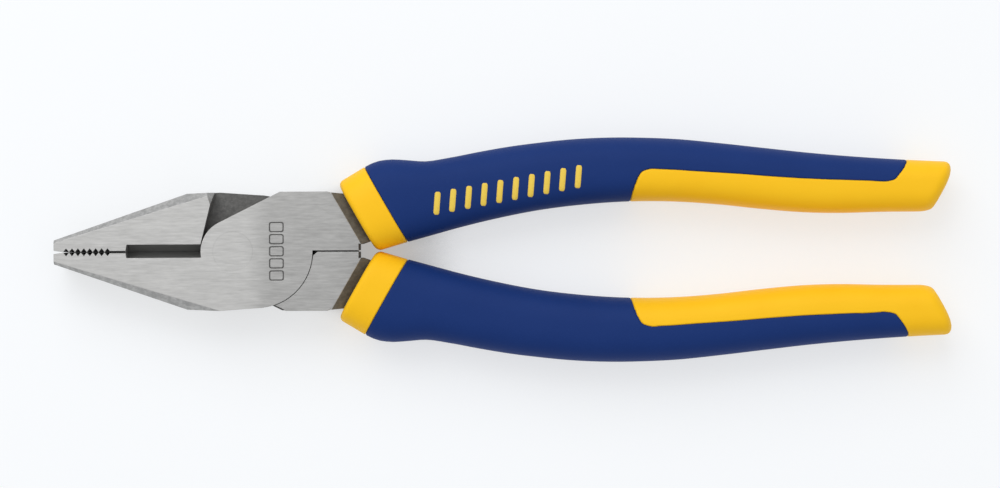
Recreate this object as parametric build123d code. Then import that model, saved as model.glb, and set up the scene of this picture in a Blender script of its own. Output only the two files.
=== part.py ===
from build123d import *
import math
import os

# Combination pliers of the lineman pattern, closed. Millimetres.
# The origin is on the pivot axis, half way through the head. +X runs towards the handles,
# +Y towards the upper jaw and handle, +Z out of the front face.
# Two equal forgings lap each other at the pivot: the back one is the front one turned over
# about X. Each carries a grip of two moulded shots on its tang.

# Overall sizes
jaw_length = 40.2  # pivot to jaw tip
handle_length = 162.3  # pivot to the end of the grips
half_width = 13.4  # centre line to the side of the head
head_thickness = 12.0

# Pivot and lap joint
hub_radius = 7.2
hub_gap = 0.2  # between the hub and the heel that turns round it
lap_gap = 0.04  # between the two lap faces
slope_angle = 26.6  # side of the hub that leads up to the shoulder, to the X axis
opening_stop = 49.5  # turn at which the heel reaches that side
lap_arc_radius = 12.75
lap_arc_x = 5.2  # centre of the lap's round end
lap_arc_gap = 0.15
rivet_radius = 3.4
rivet_head_radius = 4.5
rivet_head_depth = 1.1
rivet_clearance = 0.04  # running fit in the back lever

# Jaw
nose_half_height = 2.7
nose_mouth = 0.35  # half opening at the very tip
nose_mouth_length = 2.0
cheek_x = 10.4  # pivot to the widest point of the jaw
cheek_step = 0.35  # cheek inside the side of the head
lap_side_x = 3.2  # pivot to where the jaw's side becomes the lap's side
jaw_half_gap = 0.08
bevel_start = 0.6  # bevel's width at the nose
bevel_angle = 45.0
heel_facet_width = 1.6
heel_facet_length = 2.8
heel_facet_depth = 4.0

# Teeth, knife and its relief
tooth_count = 8
tooth_pitch = 1.33
tooth_depth = 0.8
tooth_crest = 0.06  # flat left between two grooves
teeth_start = 37.4  # pivot to the first groove
flat_start = 27.6  # pivot to the step behind the teeth
flat_half_gap = 0.27
knife_start = 24.1  # pivot to the outer end of the knife
knife_start_slant = 0.3
knife_half_gap = 0.02
knife_half_angle = 32.0
knife_relief_front = 1.36
knife_relief_back = 1.65

# Rear of the head and neck, along a line that leaves the pivot at neck_angle
neck_angle = 30.0
head_rear = 25.75
head_rear_x = 28.3
neck_length = 2.1  # from the ground face to the grip's collar
slot_half_gap = 0.16
slot_corner = 1.0
shoulder_tip_x = 9.5
shoulder_tip_chamfer = 1.4
rear_corner = 1.35

# Tang
tang_thickness = 8.6
tang_inner_gap = 2.2  # centre line to the tang where it enters the grip
tang_side_step = 0.45  # tang inside the side of the head
tang_side_wall = 3.4  # grip wall beside the tang
tang_face_wall = 3.9  # grip wall over the tang
tang_sections = 8  # of the grip's sections, counted from the seam, that the tang reaches

# Grip
collar_margin = 2.6
collar_length = 7.1
collar_round = 1.2
seam_outer_margin = 2.7
seam_inner_margin = 4.4
grip_thickness = 15.6
cover_thickness = 1.6
oval_power = 2.6
oval_points = 16
# Sections behind the seam: place as a share of the grip's length, outer edge beyond the side
# of the head, inner edge from the centre line, lean of the section, added thickness.
grip_sections = [
    (0.070, 7.05, 4.35, 3.6, -0.9),
    (0.150, 7.90, 6.65, 2.6, -1.3),
    (0.245, 10.30, 8.60, 1.2, -0.6),
    (0.370, 11.80, 10.35, 0.2, 0.2),
    (0.500, 11.65, 10.65, -0.2, 0.4),
    (0.640, 9.85, 9.40, -0.6, 0.0),
    (0.780, 7.90, 8.20, -0.8, -0.9),
    (0.900, 6.70, 8.25, -1.6, -1.6),
    (0.953, 6.25, 8.30, -2.2, -2.0),
]
end_section = (0.980, 4.50, 9.20, -2.5, -5.0)
# Edge of the palm panel: share of the grip's length, then height beyond the side of the head
# on the front and on the back.
panel_edge = [(0.468, 4.65, 3.7), (0.668, 3.0, 2.1), (0.880, 1.8, 0.85)]
panel_corner = 3.0
panel_lean = 4.0  # the panel's first edge leans back this far to the inner side

# Column of engraved cells on the front face
cell_count = 5
cell_x = 9.85
cell_width = 3.3
cell_height = 2.3
cell_pitch = 2.72
cell_corner = 0.5
cell_line = 0.25
cell_depth = 0.12

half_thickness = head_thickness / 2
lap_z = lap_gap / 2
neck_end = head_rear + neck_length
seam_at = neck_end + collar_length


def direction(degrees):
    """Unit vector in the XY plane."""
    return Vector(math.cos(math.radians(degrees)), math.sin(math.radians(degrees)))


along_neck = direction(neck_angle)
across_neck = direction(neck_angle + 90)


def neck_point(along, across):
    """Point in the XY plane from distances along and across the neck."""
    return along_neck * along + across_neck * across


def across_at_height(along, height):
    """Distance across the neck at which a section of it reaches a height in Y."""
    return (height - along * along_neck.Y) / across_neck.Y


def plate(edges, low, high):
    """Solid between two heights from a closed outline in the XY plane."""
    face = make_face(edges)
    return extrude(Pos(0, 0, low) * face, high - low)


def outline(*points):
    return Polyline(*points, close=True)


# Points that the two outlines share
tangent_front = direction(90 + slope_angle) * hub_radius
tangent_heel = direction(90 + slope_angle + opening_stop) * (hub_radius + hub_gap)
slope_end_x = tangent_front.X + (half_width - tangent_front.Y) / math.tan(
    math.radians(slope_angle)
)
cheek = Vector(-cheek_x, -(half_width - cheek_step))
nose = Vector(-jaw_length, -nose_half_height)
bevel_end = Vector(-lap_side_x, -half_width + 0.15)
tang_outer = across_at_height(neck_end, half_width - tang_side_step)
tang_inner = across_at_height(neck_end, tang_inner_gap)
rear_top = neck_point(head_rear, across_at_height(head_rear, half_width))
rear_low = Vector(head_rear_x, (head_rear - head_rear_x * along_neck.X) / along_neck.Y)


def jaw_side():
    """Inner edge of the jaw from the nose to the hub, as points."""
    return [
        (-jaw_length, -nose_mouth),
        (-jaw_length + nose_mouth_length, -jaw_half_gap),
        (-flat_start, -jaw_half_gap),
        (-flat_start + 0.1, -flat_half_gap),
        (-knife_start, -flat_half_gap),
        (-knife_start, -knife_half_gap),
    ]


def front_plate():
    """Front half: jaw, hub, lap and shoulder in one outline."""
    hub_start = Vector(-math.sqrt(hub_radius**2 - knife_half_gap**2), -knife_half_gap)
    hub_middle = direction(90 + slope_angle + 30) * hub_radius
    slot_x = lap_arc_x + math.sqrt(lap_arc_radius**2 - slot_half_gap**2)
    arc_middle = Vector(lap_arc_x, 0) + direction(-45) * lap_arc_radius
    edges = [
        Polyline(*jaw_side(), hub_start),
        ThreePointArc(hub_start, hub_middle, tangent_front),
        Polyline(
            tangent_front,
            (slope_end_x, half_width),
            (rear_top.X - rear_corner / 2, half_width),
            rear_top - across_neck * rear_corner,
            rear_low,
            (head_rear_x, slot_half_gap),
            (slot_x, slot_half_gap),
        ),
        ThreePointArc((slot_x, slot_half_gap), arc_middle, (lap_arc_x, -lap_arc_radius)),
        Polyline(
            (lap_arc_x, -lap_arc_radius),
            (-lap_side_x, -half_width + 0.05),
            cheek,
            nose,
            jaw_side()[0],
        ),
    ]
    return plate(edges, lap_z, half_thickness)


def back_jaw():
    """Back half of the jaw, which ends at the heel."""
    reach = hub_radius + hub_gap
    heel_start = Vector(-math.sqrt(reach**2 - knife_half_gap**2), -knife_half_gap)
    heel_middle = direction(180 + (90 - slope_angle - opening_stop) / 2) * reach
    tangent = Vector(tangent_heel.X, -tangent_heel.Y)
    side = -half_width + 0.1
    heel_slope = direction(-(slope_angle + opening_stop))
    heel_end = tangent + heel_slope * ((side - tangent.Y) / heel_slope.Y)
    edges = [
        Polyline(*jaw_side(), heel_start),
        ThreePointArc(heel_start, heel_middle, tangent),
        Polyline(tangent, heel_end, cheek, nose, jaw_side()[0]),
    ]
    jaw = plate(edges, -half_thickness, lap_z)
    corner = Vector(heel_end.X, heel_end.Y, -half_thickness)
    on_side = corner - Vector(heel_facet_width, 0, 0)
    on_heel = corner - heel_slope * heel_facet_length
    below = corner + Vector(0, 0, heel_facet_depth)
    normal = (on_heel - on_side).cross(below - on_side).normalized()
    if normal.X < 0:
        normal = normal * -1
    facet = Plane(origin=on_side, x_dir=on_heel - on_side, z_dir=normal)
    return jaw - extrude(facet * Rectangle(16, 16), 6)


def back_shoulder():
    """Back half of the shoulder, hollowed to clear the other lever's lap."""
    radius = lap_arc_radius + lap_arc_gap
    start = Vector(lap_arc_x + math.sqrt(radius**2 - slot_corner**2), slot_corner)
    middle = Vector(lap_arc_x, 0) + direction(35) * radius
    rise = math.sqrt(radius**2 - (shoulder_tip_x - lap_arc_x) ** 2)
    tip = Vector(shoulder_tip_x, rise)
    edges = [
        ThreePointArc(start, middle, tip),
        Polyline(
            tip,
            (shoulder_tip_x + shoulder_tip_chamfer, rise + (half_width - rise) / 2),
            (shoulder_tip_x + 1.7 * shoulder_tip_chamfer, half_width),
            (rear_top.X - rear_corner / 2, half_width),
            rear_top - across_neck * rear_corner,
            rear_low,
            (head_rear_x, slot_half_gap),
            (start.X + slot_corner, slot_half_gap),
            start,
        ),
    ]
    return plate(edges, -half_thickness, lap_z)


def knife_relief():
    """Space that the knife's two flanks leave, as one cutter."""
    top = half_thickness + 1
    flank = 1 / math.tan(math.radians(knife_half_angle))
    front, back = knife_relief_front, knife_relief_back
    section = outline(
        (0, 1),
        (0, top),
        (-front, top),
        (-front, front * flank),
        (-knife_half_gap, 0),
        (-back, -back * flank),
        (-back, -top),
        (1, -top),
    )
    start = Plane(origin=(-knife_start, 0, 0), x_dir=(0, 1, 0), z_dir=(1, 0, 0))
    flanks = extrude(start * make_face(section), knife_start)
    plan = outline((-knife_start, 1), (-knife_start, 0), (knife_start_slant - knife_start, -back),
                   (0, -back), (0, 1))
    hub = Pos(0, 0, top / 2) * Cylinder(hub_radius, top)
    return (flanks & plate([plan], -top, top)) - hub


def tooth_grooves():
    """V grooves across the gripping face."""
    grooves = []
    for index in range(tooth_count):
        x = -teeth_start + index * tooth_pitch
        half = (tooth_pitch - tooth_crest) / 2
        mouth = -jaw_half_gap
        groove = outline((x - half, 0), (x - half, mouth), (x, mouth - tooth_depth),
                         (x + half, mouth), (x + half, 0))
        grooves.append(plate([groove], -half_thickness - 1, half_thickness + 1))
    return grooves


def side_bevel(face_z):
    """Cutter for the ground bevel along the jaw's outer edge on one face."""
    up = 1 if face_z > 0 else -1
    start = Vector(nose.X, nose.Y + bevel_start, face_z)
    end = Vector(bevel_end.X, bevel_end.Y, face_z)
    run = end - start
    outward = Vector(run.Y, -run.X, 0).normalized()
    tilt = math.radians(bevel_angle)
    normal = outward * math.sin(tilt) + Vector(0, 0, up * math.cos(tilt))
    bevel = Plane(origin=(start + end) / 2, x_dir=run, z_dir=normal)
    return extrude(bevel * Rectangle(run.length + 8, 12), 6)


def section_plane(outer, inner):
    """Plane across a handle, X from the inner to the outer edge and Y along the tool's Z."""
    across = (outer - inner).normalized()
    onward = Vector(across.Y, -across.X, 0)
    return Plane(origin=(outer + inner) / 2, x_dir=across, z_dir=onward)


def neck_station(along, outer_margin, inner_margin, added):
    """One section of the collar, from how far it stands out round the tang."""
    return (
        neck_point(along, tang_outer + outer_margin),
        neck_point(along, tang_inner - inner_margin),
        grip_thickness + added,
    )


def grip_x(share):
    """Place along the grip from a share of its length behind the seam."""
    start = seam_at * along_neck.X + collar_length / 2
    return start + share * (handle_length - start)


def grip_station(share, outer_rise, inner_height, lean, added):
    """One section of the grip from its row of sizes."""
    return (
        Vector(grip_x(share) - lean, half_width + outer_rise),
        Vector(grip_x(share) + lean, inner_height),
        grip_thickness + added,
    )


def grip_stations():
    """Outer point, inner point and thickness of each section from the collar to the end."""
    collar = neck_station(neck_end + collar_round, collar_margin, collar_margin, 0)
    seam = neck_station(seam_at, seam_outer_margin, seam_inner_margin, 0)
    return [collar, seam] + [grip_station(*section) for section in grip_sections]


def oval(station, inset=0.0):
    """Rounded section of a grip, drawn in by inset on every side."""
    outer, inner, thickness = station
    half_across = (outer - inner).length / 2 - inset
    half_deep = thickness / 2 - inset
    points = []
    for index in range(oval_points):
        turn = 2 * math.pi * index / oval_points
        c, s = math.cos(turn), math.sin(turn)
        points.append(
            (
                half_across * math.copysign(abs(c) ** (2 / oval_power), c),
                half_deep * math.copysign(abs(s) ** (2 / oval_power), s),
            )
        )
    return section_plane(outer, inner) * make_face(Spline(*points, periodic=True))


def tang():
    """Bar inside the grip, with the sloped neck that joins it to the head."""
    root_outer = across_at_height(head_rear, half_width - tang_side_step / 2)
    root_inner = across_at_height(head_rear, tang_inner_gap * 0.7)
    neck = outline(
        neck_point(head_rear - 3, root_outer - 3),
        neck_point(head_rear, root_outer),
        neck_point(neck_end, tang_outer),
        neck_point(neck_end, tang_inner),
        neck_point(head_rear, root_inner),
        neck_point(head_rear - 3, root_inner + 3),
    )
    bar = plate([neck], -half_thickness, half_thickness)
    drop = half_thickness - tang_thickness / 2
    for side in (1, -1):
        middle = (tang_outer + tang_inner) / 2
        origin = neck_point(head_rear, middle) + Vector(0, 0, side * half_thickness)
        normal = along_neck * drop + Vector(0, 0, side * neck_length)
        slope = Plane(origin=origin, x_dir=across_neck, z_dir=normal.normalized())
        bar -= extrude(slope * Rectangle(40, 40), 8)
    first = section_plane(neck_point(neck_end, tang_outer), neck_point(neck_end, tang_inner))
    sections = [first * Rectangle(tang_outer - tang_inner, tang_thickness)]
    for outer, inner, thickness in grip_stations()[1 : 1 + tang_sections]:
        width = (outer - inner).length - 2 * tang_side_wall
        depth = thickness - 2 * tang_face_wall
        sections.append(section_plane(outer, inner) * Rectangle(width, depth))
    return bar + loft(sections, ruled=True)


def rivet_bore(clearance):
    """Pivot hole with a countersink at both faces, or the rivet itself at no clearance."""
    radius = rivet_radius + clearance
    head = rivet_head_radius + clearance
    profile = outline(
        (0, -half_thickness),
        (head, -half_thickness),
        (radius, -half_thickness + rivet_head_depth),
        (radius, half_thickness - rivet_head_depth),
        (head, half_thickness),
        (0, half_thickness),
    )
    return revolve(Plane.XZ * make_face(profile), Axis.Z)


def lever(clearance):
    """One forging, in the place of the front lever."""
    body = front_plate() + back_jaw() + back_shoulder() + tang()
    body -= knife_relief()
    for groove in tooth_grooves():
        body -= groove
    body -= side_bevel(half_thickness)
    body -= side_bevel(-half_thickness)
    return body - rivet_bore(clearance)


def grip_envelope():
    """Whole outside of a grip: a smooth body with a rounded rim and a rounded end."""
    stations = grip_stations()
    rim = neck_station(neck_end, collar_margin, collar_margin, 0)
    end = grip_station(*end_section)
    body = loft([oval(station) for station in stations])
    body += loft([oval(rim, collar_round), oval(stations[0])], ruled=True)
    return body + loft([oval(stations[-1]), oval(end)], ruled=True)


def under_cover():
    """Outside of the first shot where the cover lies over it."""
    return loft([oval(station, cover_thickness) for station in grip_stations()[1:]])


def panel_outline(column, z):
    """Outline of everything behind the seam that stays bare, at one height in Z."""
    edge = [(grip_x(row[0]), half_width + row[column]) for row in panel_edge]
    below = edge[0][1] - 2 * half_width
    first = (edge[0][0] - panel_corner, edge[0][1] - panel_corner)
    last = (edge[-1][0] + panel_corner, edge[-1][1] + panel_corner)
    foot = (first[0] - panel_lean, below)
    top = (last[0] + panel_lean / 2, 3 * half_width)
    far = handle_length + half_width
    edges = [
        Polyline(foot, first),
        Spline(first, *edge, last, tangents=[(first[0] - foot[0], first[1] - foot[1]), (0.4, 1)]),
        Polyline(last, top, (far, top[1]), (far, below), foot),
    ]
    return Pos(0, 0, z) * make_face(edges)


def bare_zone():
    """Space in which the first shot comes out to the surface."""
    reach = 1.5 * half_thickness
    faces = [panel_outline(2, -reach), panel_outline(1, reach)]
    middle = neck_point(seam_at, (tang_outer + tang_inner) / 2)
    collar = Plane(origin=middle, x_dir=across_neck, z_dir=along_neck * -1)
    return loft(faces, ruled=True), extrude(collar * Rectangle(60, 60), 2 * collar_length)


def grip(steel):
    """First shot and cover of the upper grip, moulded round the steel."""
    envelope = grip_envelope()
    panel, collar = bare_zone()
    core = under_cover() + (envelope & panel) + (envelope & collar)
    cover = envelope - core
    return core - steel, cover


def engraved_cells():
    """Column of rounded outlines, as the cutters that sink them in the front face."""
    edge = RectangleRounded(cell_width, cell_height, cell_corner)
    edge -= RectangleRounded(
        cell_width - 2 * cell_line, cell_height - 2 * cell_line, cell_corner - cell_line / 2
    )
    ring = Pos(0, 0, half_thickness - cell_depth) * extrude(edge, 2 * cell_depth)
    middle = (cell_count - 1) / 2
    return [Pos(cell_x, (i - middle) * cell_pitch, 0) * ring for i in range(cell_count)]


def save(shape, node):
    export_step(shape, f"parts/{node}.step")


os.makedirs("parts", exist_ok=True)
turned_over = Rot(180, 0, 0)
front_lever = lever(0.0)
core, cover = grip(front_lever)
for cell in engraved_cells():
    front_lever -= cell
save(front_lever, "front_lever")
save(turned_over * lever(rivet_clearance), "back_lever")
save(rivet_bore(0.0), "pivot_rivet")
save(core, "upper_grip_core")
save(cover, "upper_grip_cover")
save(turned_over * core, "lower_grip_core")
save(turned_over * cover, "lower_grip_cover")
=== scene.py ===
import math
import bpy
import numpy as np
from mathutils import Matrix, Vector
from mathutils.bvhtree import BVHTree


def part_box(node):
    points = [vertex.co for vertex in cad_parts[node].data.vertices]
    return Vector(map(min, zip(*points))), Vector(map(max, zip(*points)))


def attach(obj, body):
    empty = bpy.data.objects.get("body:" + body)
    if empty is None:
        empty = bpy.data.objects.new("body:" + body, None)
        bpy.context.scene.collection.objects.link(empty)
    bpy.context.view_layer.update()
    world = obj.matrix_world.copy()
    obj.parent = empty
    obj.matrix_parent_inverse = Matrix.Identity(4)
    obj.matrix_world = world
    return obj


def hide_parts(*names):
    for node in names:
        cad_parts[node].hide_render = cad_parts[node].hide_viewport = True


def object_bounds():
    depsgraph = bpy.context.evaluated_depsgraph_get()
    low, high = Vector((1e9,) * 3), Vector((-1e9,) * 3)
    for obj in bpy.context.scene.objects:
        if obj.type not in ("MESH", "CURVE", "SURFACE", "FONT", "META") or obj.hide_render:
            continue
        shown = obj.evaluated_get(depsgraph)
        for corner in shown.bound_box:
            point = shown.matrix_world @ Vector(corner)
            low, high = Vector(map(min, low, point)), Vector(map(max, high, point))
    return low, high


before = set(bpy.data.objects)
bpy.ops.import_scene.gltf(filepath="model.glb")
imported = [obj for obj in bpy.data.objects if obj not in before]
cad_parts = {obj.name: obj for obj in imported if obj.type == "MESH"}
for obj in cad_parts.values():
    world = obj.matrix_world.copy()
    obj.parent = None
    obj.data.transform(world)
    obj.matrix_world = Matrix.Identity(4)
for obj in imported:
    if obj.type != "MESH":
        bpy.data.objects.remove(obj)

# The bench: a pale sheet under the pliers, a camera straight above them and soft light that
# comes mostly from beyond the upper handle. Nothing here belongs to the object.
cad_low, cad_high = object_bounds()
middle = (cad_low + cad_high) / 2
scene = bpy.context.scene
scene.view_settings.view_transform = "Standard"

camera_height = 0.66
picture_width = 0.2239  # what the camera takes in at the height of the grips
aim_along = -0.00095  # from the tool's middle to what the camera looks at
aim_across = 0.0014
camera_roll = math.radians(-0.285)  # the tool lies slightly askew
camera = bpy.data.cameras.new("camera")
camera.sensor_width = 36.0
camera.lens = camera.sensor_width * camera_height / picture_width
camera_object = bpy.data.objects.new("camera", camera)
camera_aim = (middle.x + aim_along, middle.y + aim_across)
camera_object.location = (*camera_aim, cad_high.z + camera_height)
camera_object.rotation_euler = (0, 0, camera_roll)
scene.collection.objects.link(camera_object)
scene.camera = camera_object


def softbox(name, place, target, size, watts):
    """Large square light that looks at a point."""
    light = bpy.data.lights.new(name, "AREA")
    light.size = size
    light.energy = watts
    lamp = bpy.data.objects.new(name, light)
    lamp.location = place
    lamp.rotation_euler = (Vector(target) - Vector(place)).to_track_quat("-Z", "Y").to_euler()
    scene.collection.objects.link(lamp)


behind_pivot = (0.06, 0.0, 0.0)
softbox("window", place=(-0.25, 0.7, 0.85), target=behind_pivot, size=0.9, watts=6.5)
softbox("ceiling", place=(0.1, 0.1, 1.3), target=behind_pivot, size=1.6, watts=3.0)
scene.world = bpy.data.worlds.new("room")
scene.world.use_nodes = True
room = scene.world.node_tree.nodes["Background"]
room.inputs["Color"].default_value = (0.97, 0.985, 1.0, 1.0)
room.inputs["Strength"].default_value = 0.55


class Shade:
    """One value or colour of a material as it is worked out, with arithmetic on it."""

    def __init__(self, finish, socket):
        self.finish = finish
        self.socket = socket

    def maths(self, operation, *inputs):
        return self.finish.node("Math", {"operation": operation}, dict(enumerate(inputs)))

    def __add__(self, other):
        return self.maths("ADD", self, other)

    def __radd__(self, other):
        return self.maths("ADD", other, self)

    def __sub__(self, other):
        return self.maths("SUBTRACT", self, other)

    def __rsub__(self, other):
        return self.maths("SUBTRACT", other, self)

    def __mul__(self, other):
        return self.maths("MULTIPLY", self, other)

    def __rmul__(self, other):
        return self.maths("MULTIPLY", other, self)

    def __pow__(self, other):
        return self.maths("POWER", self, other)

    def __abs__(self):
        return self.maths("ABSOLUTE", self)

    def rise(self, low, high):
        """0 below low, 1 above high, smooth between. It falls where low is above high."""
        settings = {"interpolation_type": "SMOOTHSTEP"}
        inputs = {"Value": self, "From Min": low, "From Max": high}
        if low > high:
            inputs = {"Value": self, "From Min": high, "From Max": low, "To Min": 1.0, "To Max": 0.0}
        return self.finish.node("MapRange", settings, inputs)


class Finish:
    """A procedural material. Places in it are in millimetres on the piece at rest."""

    def __init__(self, name, **constants):
        self.material = bpy.data.materials.new(name)
        self.material.use_nodes = True
        self.tree = self.material.node_tree
        self.shader = self.tree.nodes["Principled BSDF"]
        for socket, value in constants.items():
            self.shader.inputs[socket.replace("_", " ")].default_value = value

    def node(self, kind, settings=None, inputs=None, output=0):
        """Adds a node: its settings first, then the values or links of its sockets."""
        made = self.tree.nodes.new("ShaderNode" + kind)
        for name, value in (settings or {}).items():
            setattr(made, name, value)
        for key, value in (inputs or {}).items():
            self.feed(made.inputs[key], value)
        return Shade(self, made.outputs[output])

    def feed(self, socket, value):
        if isinstance(value, Shade):
            self.tree.links.new(value.socket, socket)
        else:
            socket.default_value = value

    def set(self, name, value):
        """Feeds a socket of the shader with something that varies over the surface."""
        self.feed(self.shader.inputs[name], value)

    def place(self):
        scale = {"operation": "SCALE"}
        inputs = {0: self.node("TexCoord", output="Object"), "Scale": 1000.0}
        return self.node("VectorMath", scale, inputs)

    def parts(self, vector):
        """The three parts of a vector."""
        split = self.node("SeparateXYZ", inputs={0: vector})
        return [Shade(self, socket) for socket in split.socket.node.outputs]

    def stretched(self, vector, factors):
        return self.node("VectorMath", {"operation": "MULTIPLY"}, {0: vector, 1: factors})

    def noise(self, vector, scale, detail=2.0, roughness=0.5):
        inputs = {"Vector": vector, "Scale": scale, "Detail": detail, "Roughness": roughness}
        return self.node("TexNoise", inputs=inputs)

    def mix(self, share, first, second):
        """Colour between two colours."""
        inputs = {0: share, 6: first, 7: second}
        return self.node("Mix", {"data_type": "RGBA"}, inputs, output=2)

    def bump(self, height, strength, normal=None):
        """Normal from a height in millimetres."""
        inputs = {"Height": height, "Strength": strength, "Distance": 0.001}
        if normal is not None:
            inputs["Normal"] = normal
        return self.node("Bump", inputs=inputs)


def colour(red, green, blue):
    return (red, green, blue, 1.0)


slots_side = 2.0  # the strip of painted shadow on the sheet under the head's slots, in millimetres
slots_rear = 28.0
strip_blur = 0.6
deep_shade = 0.012  # how close over the sheet a thing lies that keeps the light off it


def lit_paper():
    """White sheet that glows a little, with painted shade: its colour and glow go dark where things lie
    close over it and in a painted shadow strip under the head's slots.
    """
    finish = Finish("lit_paper", Roughness=0.9, Emission_Strength=0.6)
    open_above = finish.node("AmbientOcclusion", {"samples": 16}, {"Distance": deep_shade}, output=1)
    x, y, z = finish.parts(finish.place())
    in_front = x.rise(slots_rear, slots_rear - strip_blur)
    slot_painted_shadow = in_front * abs(y).rise(slots_side, slots_side - strip_blur)
    # Painted shade: the sheet is darkened where things lie close over it, with a painted shadow strip
    # under the head's slots.
    painted_shade = open_above.rise(0.5, 0.3) * (0.35 + slot_painted_shadow * 0.65)
    finish.set("Base Color", finish.mix(painted_shade, colour(0.355, 0.372, 0.392), colour(0.05, 0.05, 0.05)))
    finish.set("Emission Color", finish.mix(painted_shade, colour(1, 1, 1), colour(0.03, 0.03, 0.03)))
    return finish.material


bpy.ops.mesh.primitive_plane_add(size=6.0, location=(0.0, 0.0, cad_low.z))
sheet = bpy.context.object
sheet.name = "bench_sheet"
sheet.data.materials.append(lit_paper())


# Front and back lever: two equal steel forgings. The faces, the jaws' bevels and the sides are
# ground bright along the tool; the recess of the lap, the knife relief and the neck keep the
# dark scale of the forge. The ground bevels and sides carry painted shade, darker than the
# faces, and the faces carry painted shade towards the handles.
half_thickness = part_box("front_lever")[1].z * 1000
neck_angle = math.radians(30.0)
neck_from = 25.75  # along the neck, where the ground face ends
relief_from = 6.6  # pivot to the knife relief
relief_side = 2.0
black = colour(0, 0, 0)
ground_colour = colour(0.60, 0.594, 0.582)
# Painted shade: the ground bevels and sides are given darker colours than the ground faces.
shaded_bevel_dull = colour(0.375, 0.372, 0.366)
shaded_bevel_bright = colour(0.53, 0.525, 0.515)
shaded_side_colour = colour(0.33, 0.325, 0.315)
relief_colour = colour(0.30, 0.30, 0.29)
scale_colour = colour(0.092, 0.09, 0.088)
scale_worn = colour(0.15, 0.148, 0.142)
scratch_colour = colour(0.32, 0.32, 0.31)
neck_colour = colour(0.115, 0.103, 0.082)
neck_worn = colour(0.17, 0.155, 0.128)


def ground_streaks(finish, place):
    """Fine marks of the grinding belt, which ran along the tool."""
    fine = finish.noise(finish.stretched(place, (0.35, 9.0, 9.0)), 1.0, 3.0, 0.6)
    belt = finish.noise(finish.stretched(place, (0.28, 2.4, 2.4)), 1.0, 3.0, 0.65)
    broad = finish.noise(finish.stretched(place, (0.08, 0.35, 0.35)), 1.0, 2.0, 0.5)
    return fine, 0.45 + fine * 0.2 + belt * 0.42 + broad * 0.12


def painted_shade_to_handles(x):
    """Painted shade: how much darker the faces are painted towards the handles."""
    return x.rise(2.0, 9.0) * 0.17 + x.rise(20.0, 28.0) * 0.05


def forging():
    """Steel that is bright where it is ground and dark elsewhere, by where each face points. The ground
    bevels and sides are painted darker than the faces, as painted shade.
    """
    finish = Finish("ground_forging")
    place = finish.place()
    x, y, z = finish.parts(place)
    facing = abs(finish.parts(finish.node("TexCoord", output="Normal"))[2])
    fine, streaks = ground_streaks(finish, place)
    mottle = finish.noise(place, 0.9, 4.0, 0.65)
    scratches = finish.noise(finish.stretched(place, (0.5, 5.0, 1.0)), 1.4, 2.0, 0.7)

    at_face = abs(z).rise(half_thickness - 0.12, half_thickness - 0.04)
    face = at_face * facing.rise(0.96, 0.99)
    tilted = facing.rise(0.25, 0.4) * facing.rise(0.97, 0.94) * abs(y).rise(2.0, 2.4)
    side = facing.rise(0.2, 0.1) * abs(y).rise(2.2, 2.5)
    beyond = x * math.cos(neck_angle) + abs(y) * math.sin(neck_angle)
    neck = beyond.rise(neck_from + 0.02, neck_from + 0.12)

    # Painted shade: the ground faces are painted darker towards the handles.
    bright = finish.mix(streaks - painted_shade_to_handles(x), black, ground_colour)
    tint = finish.mix(mottle.rise(0.3, 0.75), scale_colour, scale_worn)
    dark = finish.mix(scratches.rise(0.62, 0.75) * 0.35, tint, scratch_colour)
    relief = x.rise(-relief_from, -relief_from - 0.4) * abs(y).rise(relief_side, relief_side - 0.1)
    dark = finish.mix(relief, dark, finish.mix(streaks, black, relief_colour))
    # Painted shade: the ground bevels and sides are painted darker than the faces, by where they point.
    # The bevels' tone also varies at random.
    bevel = finish.mix(mottle.rise(0.35, 0.68), shaded_bevel_dull, shaded_bevel_bright)
    body = finish.mix(side, dark, shaded_side_colour)
    body = finish.mix(tilted, body, bevel)
    body = finish.mix(face, body, bright)
    neck_tint = finish.mix(mottle.rise(0.35, 0.7), neck_colour, neck_worn)
    finish.set("Base Color", finish.mix(neck, body, neck_tint))
    ground = (face + tilted + side) * (1.0 - neck)
    finish.set("Metallic", 0.15 + ground * 0.85)
    finish.set("Roughness", 0.58 - ground * 0.2 + fine * 0.12)
    edge = finish.node("Bevel", {"samples": 4}, {"Radius": 0.00012})
    height = fine * 0.004 * ground + mottle * 0.03 * (1.0 - face)
    finish.set("Normal", finish.bump(height, 0.6, edge))
    return finish.material


forged_steel = forging()
for lever in ("front_lever", "back_lever"):
    lever_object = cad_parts[lever]
    lever_object.data.materials.clear()
    lever_object.data.materials.append(forged_steel)


# Pivot rivet: a soft steel pin hammered into a countersink at both faces and ground flush with
# them, so that only a faint ring shows.
rivet_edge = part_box("pivot_rivet")[1].x * 1000
ring_width = 0.2


def rivet_steel():
    finish = Finish("rivet_steel", Metallic=1.0)
    place = finish.place()
    fine, streaks = ground_streaks(finish, place)
    x, y, z = finish.parts(place)
    radius = (x * x + y * y) ** 0.5
    ring = radius.rise(rivet_edge - 0.02 - ring_width, rivet_edge - 0.02) * 0.05
    # Painted shade: the rivet's face is painted darker towards the handles, like the levers' faces.
    finish.set("Base Color", finish.mix(streaks - ring - painted_shade_to_handles(x), black, ground_colour))
    finish.set("Roughness", 0.38 + fine * 0.12)
    finish.set("Normal", finish.bump(fine * 0.004, 0.6))
    return finish.material


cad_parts["pivot_rivet"].data.materials.clear()
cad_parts["pivot_rivet"].data.materials.append(rivet_steel())


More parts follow.
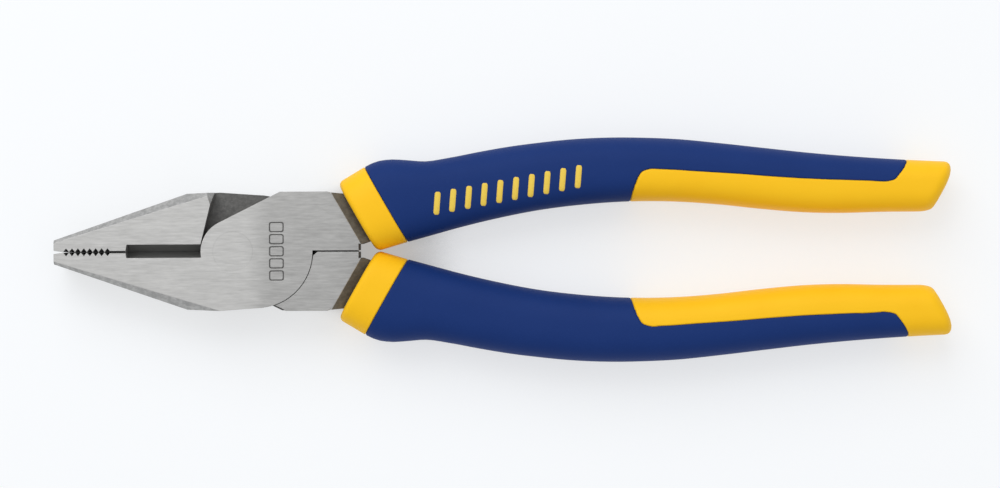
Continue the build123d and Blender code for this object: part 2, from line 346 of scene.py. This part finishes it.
# Grips: a yellow first shot moulded on the tang, which comes out as the collar, the palm panel
# and the end cap, and a blue cover moulded over the rest of it. Where the two meet, both turn
# in to a fine groove. Sizes are in millimetres, for the upper grip.
collar_outer = [(23.5, 15.4), (29.5, 19.0)]
collar_inner = [(32.25, -0.1), (39.2, 1.95)]
outer_edge = [
    (29.5, 19.0), (32.0, 20.15), (35.1, 20.65), (39.0, 20.5), (43.0, 20.2), (48.7, 21.0),
    (55.5, 22.3), (62.3, 23.45), (69.0, 24.3), (76.0, 25.0), (86.0, 25.4), (93.0, 25.3),
    (99.7, 25.0), (109.9, 24.0), (120.0, 22.85), (130.3, 21.7), (140.5, 20.8), (150.7, 20.1),
    (157.5, 19.75), (163.6, 19.5),
]
inner_edge = [
    (39.2, 1.95), (44.5, 3.4), (50.5, 5.05), (59.0, 7.1), (69.1, 9.05), (78.0, 10.15),
    (89.5, 10.9), (99.0, 10.85), (109.9, 10.1), (119.0, 9.1), (130.0, 8.2), (137.0, 8.05),
    (146.0, 8.25), (157.4, 8.3),
]
depth_at = [
    (24.0, 15.4), (30.0, 15.6), (42.0, 14.8), (56.0, 14.4), (76.0, 15.4), (96.0, 15.9),
    (118.0, 15.2), (140.0, 14.2), (163.0, 13.4),
]
panel_start = [
    (88.6, 7.0), (89.3, 9.5), (89.6, 11.0), (90.2, 13.3), (91.0, 15.5), (91.9, 16.95),
]
panel_top = [
    (93.6, 17.6), (96.5, 17.55), (104.1, 17.07), (113.7, 16.45), (122.5, 15.75), (130.0, 15.3),
    (138.0, 15.0), (143.0, 14.85), (147.6, 14.8),
]
panel_finish = [(148.8, 15.2), (149.6, 16.1), (150.5, 17.3), (151.6, 19.1), (153.6, 23.6)]
panel_outline = panel_start + panel_top + panel_finish
panel_shear = 1.0 / 19.0  # the panel's edge lies this much lower per millimetre to the back
panel_face = 7.0  # from the grip's middle plane to its face at the panel
section_power = 2.7
rim_radius = 1.2
rim_wall = 1.9
rim_recess = 0.8
end_radius = 3.0
end_bias = 0.72  # the end is rounder at the outer edge than at the inner one
end_half_width = 4.0
end_crown = 0.25
collar_length = 7.1
seam_radius = 0.35
tuck = 1.2  # how deep each shot runs under the other
tuck_slope = 2.5
lip = 0.6  # how far the cover's edge runs under the first shot
cover_wall = 1.0
lines_round = 88


def smooth_curve(points, at):
    """Height of a smooth curve through given points."""
    x, y = np.array(points).T
    slope = np.gradient(y, x)
    span = np.clip(np.searchsorted(x, at) - 1, 0, len(x) - 2)
    width = x[span + 1] - x[span]
    t = (at - x[span]) / width
    start = (2 * t**3 - 3 * t**2 + 1) * y[span] + (t**3 - 2 * t**2 + t) * width * slope[span]
    end = (3 * t**2 - 2 * t**3) * y[span + 1] + (t**3 - t**2) * width * slope[span + 1]
    return start + end


def smooth_path(points, samples):
    """Smooth path in the plane through given points."""
    points = np.array(points)
    step = np.linalg.norm(np.diff(points, axis=0), axis=1)
    reach = np.concatenate([[0], np.cumsum(step)])
    at = np.linspace(0, reach[-1], samples)
    return np.stack([smooth_curve(np.stack([reach, c], 1), at) for c in points.T], 1)


def section_ends(place):
    """Outer and inner point of the section at a place: -1 to 0 in the collar, then 0 to 1."""
    if place < 0:
        outer = np.array(collar_outer[1]) + (np.array(collar_outer[1]) - collar_outer[0]) * place
        inner = np.array(collar_inner[1]) + (np.array(collar_inner[1]) - collar_inner[0]) * place
        return outer, inner
    x_outer = outer_edge[0][0] + place * (outer_edge[-1][0] - outer_edge[0][0])
    x_inner = inner_edge[0][0] + place * (inner_edge[-1][0] - inner_edge[0][0])
    outer = np.array([x_outer, smooth_curve(outer_edge, x_outer)])
    return outer, np.array([x_inner, smooth_curve(inner_edge, x_inner)])


def place_of(x):
    """Place whose outer point is at x."""
    return (x - outer_edge[0][0]) / (outer_edge[-1][0] - outer_edge[0][0])


turn = np.linspace(0, math.pi, 721)
rounded = np.stack(
    [
        np.sign(np.cos(turn)) * np.abs(np.cos(turn)) ** (2 / section_power),
        np.abs(np.sin(turn)) ** (2 / section_power),
    ],
    1,
)
travel = np.concatenate([[0], np.cumsum(np.linalg.norm(np.diff(rounded, axis=0), axis=1))])
travel = travel / travel[-1] / 2  # share of the way round, from the outer to the inner edge


def round_shares(place):
    """Where the lines round a section lie, bunched at the panel's edge on both faces."""
    outer, inner = section_ends(max(place, 0))
    centre, half = (outer + inner) / 2, np.linalg.norm(outer - inner) / 2
    level = smooth_curve(panel_top, np.clip(centre[0], panel_top[0][0], panel_top[-1][0]))
    rise = np.clip((level - centre[1]) / half, -0.8, 0.8)
    tilt = panel_face * panel_shear / half
    front = np.interp(-(rise + tilt), -rounded[:, 0], travel)
    back = 1 - np.interp(-(rise - tilt), -rounded[:, 0], travel)
    even = np.arange(lines_round // 2) / (lines_round // 2)
    bunched = even - 0.7 * np.sin(2 * math.pi * even) / (2 * math.pi)
    outer_side = back - 1 + bunched * (front - back + 1)
    inner_side = front + bunched * (back - front)
    return np.concatenate([outer_side, inner_side])


def section(place, inset=0.0, forward=0.0, bias=0.0):
    """Ring of points round the grip, drawn in by inset and moved forward along the grip.
    A bias draws it in more at the outer edge than at the inner one."""
    outer, inner = section_ends(place)
    centre, across = (outer + inner) / 2, outer - inner
    half = np.linalg.norm(across) / 2
    across = across / (2 * half)
    onward = np.array([across[1], -across[0]])
    deep = smooth_curve(depth_at, centre[0]) / 2
    share = round_shares(place) % 1.0
    front = share <= 0.5
    along = np.where(front, share, 1 - share)
    outward = np.interp(along, travel, rounded[:, 0])
    upward = np.interp(along, travel, rounded[:, 1]) * np.where(front, 1, -1)
    plan = centre + np.outer(outward * (half - inset) - bias * inset, across) + onward * forward
    return np.column_stack([plan, upward * (deep - inset)])


def grip_rows():
    """Rings from the tang's hole in the collar to the middle of the end. They lie close
    together where the cover's edge crosses them."""
    recess = ((1.8, 1.0), (0.4, 1.0), (0.1, 0.6), (0.0, 0.0))  # past the rim's wall, and depth
    rows = [section(-1, rim_wall + past, rim_recess * depth) for past, depth in recess]
    for angle in np.linspace(0, math.pi / 2, 8):
        along = rim_radius * (1 - math.cos(angle))
        rows.append(section(-1 + along / collar_length, rim_radius * (1 - math.sin(angle))))
    to_seam = np.concatenate([np.linspace(-0.7, -0.25, 4), np.arange(-1.2, 0, 0.15) / collar_length])
    rows += [section(place) for place in to_seam]
    first = outer_edge[0][0]
    last = outer_edge[-1][0]
    stretches = [
        np.arange(first, first + 1.3, 0.15),
        np.arange(first + 1.8, 84.0, 1.5),
        np.arange(84.4, 97.0, 0.22),
        np.arange(98.0, 146.0, 1.5),
        np.arange(146.6, 154.8, 0.22),
        np.arange(155.6, last - end_radius - 0.4, 0.8),
    ]
    rows += [section(place_of(x)) for x in np.concatenate(stretches)]
    for angle in np.linspace(0, math.pi / 2, 8):
        x = last - end_radius * (1 - math.sin(angle))
        rows.append(section(place_of(x), end_radius * (1 - math.cos(angle)), 0, end_bias))
    for share in (0.45, 0.65, 0.85, 0.97):
        inset = end_radius + end_half_width * share
        rows.append(section(1, inset, end_crown * share, end_bias * (1 - share)))
    return np.array(rows)


def surface_normals(rows):
    along = np.gradient(rows, axis=0)
    around = np.roll(rows, -1, axis=1) - np.roll(rows, 1, axis=1)
    normal = np.cross(along, around)
    length = np.linalg.norm(normal, axis=2, keepdims=True)
    normal = normal / np.maximum(length, 1e-9)
    out = rows - rows.mean(axis=1, keepdims=True)
    return normal * np.sign((normal * out).sum(axis=2).mean())


def cover_reach(rows):
    """How far inside the cover's area each point lies, negative where the first shot is bare."""
    path = smooth_path(panel_outline, 500)
    plan = rows[:, :, :2].copy()
    plan[:, :, 1] -= panel_shear * rows[:, :, 2]
    points = plan.reshape(-1, 2)
    away = np.linalg.norm(points[:, None] - path[None], axis=2)
    nearest = np.clip(away.argmin(axis=1), 1, len(path) - 2)
    run = path[nearest + 1] - path[nearest - 1]
    offset = points - path[nearest]
    left = np.sign(run[:, 0] * offset[:, 1] - run[:, 1] * offset[:, 0])
    beyond_panel = (away.min(axis=1) * left).reshape(plan.shape[:2])
    seam = np.array(collar_outer[1])
    line = np.array(collar_inner[1]) - seam
    onward = np.array([-line[1], line[0]]) / np.linalg.norm(line)
    past_collar = (rows[:, :, :2] - seam) @ onward
    return np.minimum(beyond_panel, past_collar)


def turned_in(reach):
    """Depth below the surface for a shot that turns in at the edge of its own area."""
    inside = np.clip(reach, 0, seam_radius) / seam_radius
    rounding = seam_radius * (1 - np.sqrt(1 - (1 - inside) ** 2))
    return np.minimum(rounding + np.clip(-reach, 0, None) * tuck_slope, tuck)


def new_piece(name, points, faces, finish_material):
    """Mesh object from points in millimetres, shaded smooth."""
    mesh = bpy.data.meshes.new(name)
    mesh.from_pydata((np.array(points) * 0.001).tolist(), [], faces)
    mesh.shade_smooth()
    mesh.materials.append(finish_material)
    piece = bpy.data.objects.new(name, mesh)
    scene.collection.objects.link(piece)
    return piece


def ring_faces(count, keep=None):
    """Quads between rings of equal length."""
    faces = []
    for row in range(count - 1):
        for column in range(lines_round):
            after = (column + 1) % lines_round
            corners = [(row, column), (row, after), (row + 1, after), (row + 1, column)]
            if keep is None or any(keep[corner] for corner in corners):
                faces.append([r * lines_round + c for r, c in corners])
    return faces


def moulded_yellow():
    finish = Finish("moulded_yellow", Specular_IOR_Level=0.15)
    place = finish.place()
    grain = finish.noise(place, 6.0, 3.0, 0.6)
    broad = finish.noise(place, 0.12, 2.0, 0.5)
    finish.set("Base Color", finish.mix(broad, colour(0.98, 0.535, 0.009), colour(1.0, 0.575, 0.013)))
    finish.set("Roughness", 0.46 + grain * 0.1)
    finish.set("Normal", finish.bump(grain * 0.012, 0.5))
    return finish.material


def moulded_blue():
    finish = Finish("moulded_blue", Specular_IOR_Level=0.2)
    place = finish.place()
    grain = finish.noise(place, 4.5, 3.0, 0.7)
    broad = finish.noise(place, 0.1, 2.0, 0.5)
    tint = finish.mix(broad, colour(0.0022, 0.0245, 0.144), colour(0.0042, 0.0295, 0.162))
    finish.set("Base Color", finish.mix(grain.rise(0.45, 0.8) * 0.25, tint, colour(0.02, 0.06, 0.25)))
    finish.set("Roughness", 0.58 + grain * 0.14)
    finish.set("Normal", finish.bump(grain * 0.035, 0.7))
    return finish.material


rows = grip_rows()
normals = surface_normals(rows)
reach = cover_reach(rows)
core_rows = rows - normals * turned_in(-reach)[:, :, None]
cover_rows = rows - normals * turned_in(reach)[:, :, None]
core_faces = ring_faces(len(rows))
core_faces.append(list(range(lines_round))[::-1])
core_faces.append([(len(rows) - 1) * lines_round + c for c in range(lines_round)])
cover_faces = ring_faces(len(rows), reach > -lip)
yellow = moulded_yellow()
blue = moulded_blue()
turned_over = np.array([1, -1, -1])


def make_grip(place, body, turn_over):
    """One grip's two shots. The lower grip is the upper one turned over about X."""
    core_points = core_rows.reshape(-1, 3) * turn_over
    cover_points = cover_rows.reshape(-1, 3) * turn_over
    core = new_piece(f"{place}_grip_first_shot", core_points, core_faces, yellow)
    cover = new_piece(f"{place}_grip_blue_cover", cover_points, cover_faces, blue)
    wall = cover.modifiers.new("wall", "SOLIDIFY")
    wall.thickness = cover_wall * 0.001
    wall.offset = -1.0
    for piece, layer in ((core, "core"), (cover, "cover")):
        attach(piece, body)
        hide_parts(f"{place}_grip_{layer}")
    return cover


as_made = np.array([1, 1, 1])
upper_cover = make_grip("upper", "front_half", as_made)
make_grip("lower", "back_half", turned_over)


# Row of slanted bars on the cover's front, moulded a little proud of it and printed yellow. The
# lower grip, which is turned over, has them at the back.
first_bar = np.array([46.0, 10.6])
last_bar = np.array([77.7, 16.4])
bar_count = 10
bar_length = 5.4
bar_width = 1.4
bar_lean = math.radians(15.0)
bar_rise = 0.1
bar_foot = -0.15
bar_flat = 0.93  # share of the bar inside its rounded edge
above_grips = 0.02
across_bar = np.array([-1.0, -0.96, -0.8, 0.0, 0.8, 0.96, 1.0])
along_bar = np.array([-1.0, -0.98, -0.92, -0.8, -0.6, -0.3, 0.0, 0.3, 0.6, 0.8, 0.92, 0.98, 1.0])


def bar_points(centre, surface):
    """Grid of points of one bar, laid on the surface from above."""
    row = (last_bar - first_bar) / np.linalg.norm(last_bar - first_bar)
    upright = np.array([-row[1], row[0]]) * math.cos(bar_lean) + row * math.sin(bar_lean)
    sideways = np.array([upright[1], -upright[0]])
    points = []
    for up in along_bar:
        level = up * bar_length / 2
        into_cap = max(0, abs(level) - (bar_length - bar_width) / 2) / (bar_width / 2)
        half_width = bar_width / 2 * math.sqrt(max(0, 1 - into_cap**2))
        for side in across_bar:
            plan = centre + sideways * side * half_width + upright * level
            foot = surface.ray_cast(Vector((*plan * 0.001, above_grips)), Vector((0, 0, -1)))[0]
            edge = max(abs(side), abs(up))
            height = foot.z * 1000 + np.interp(edge, [bar_flat, 1.0], [bar_rise, bar_foot])
            points.append((*plan, height))
    return points


def bar_row(surface):
    """Points and faces of the whole row of bars."""
    points = []
    faces = []
    wide = len(across_bar)
    for index in range(bar_count):
        centre = first_bar + (last_bar - first_bar) * index / (bar_count - 1)
        start = len(points)
        points += bar_points(centre, surface)
        for line in range(len(along_bar) - 1):
            for column in range(wide - 1):
                corner = start + line * wide + column
                faces.append([corner, corner + 1, corner + wide + 1, corner + wide])
    return np.array(points), faces


def printed_marks():
    finish = Finish("printed_marks", Specular_IOR_Level=0.15)
    grain = finish.noise(finish.place(), 2.2, 3.0, 0.6)
    tint = finish.mix(grain, colour(0.80, 0.55, 0.065), colour(0.92, 0.66, 0.12))
    finish.set("Base Color", tint)
    finish.set("Roughness", 0.55 + grain * 0.1)
    return finish.material


cover_surface = BVHTree.FromObject(upper_cover, bpy.context.evaluated_depsgraph_get())
marks, mark_faces = bar_row(cover_surface)
mark_print = printed_marks()
for name, body, turn_over in (("upper", "front_half", as_made), ("lower", "back_half", turned_over)):
    row = new_piece(f"{name}_grip_marks", marks * turn_over, mark_faces, mark_print)
    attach(row, body)
